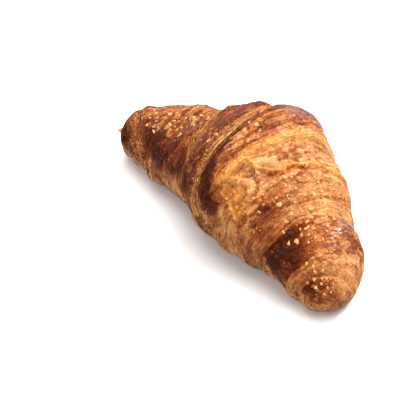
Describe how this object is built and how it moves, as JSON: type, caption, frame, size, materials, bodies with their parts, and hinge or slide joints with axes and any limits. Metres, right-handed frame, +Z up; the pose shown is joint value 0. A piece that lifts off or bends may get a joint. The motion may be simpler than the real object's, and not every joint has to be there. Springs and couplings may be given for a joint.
{
  "type": "croissant",
  "caption": "Curved baked croissant with stepped turns of flaky dough, a dark glazed crust, loose baked sugar and a flat underside to rest on.",
  "frame": {"origin": "centre of the outer box, on the surface it rests on", "axes": "+X from the first tip to the second, +Y towards the outer side of the bend, +Z up"},
  "size_m": [0.1628, 0.0816, 0.0647],
  "materials": {
    "crust": null
  },
  "bodies": {
    "root": {"croissant": "crust"}
  },
  "joints": []
}
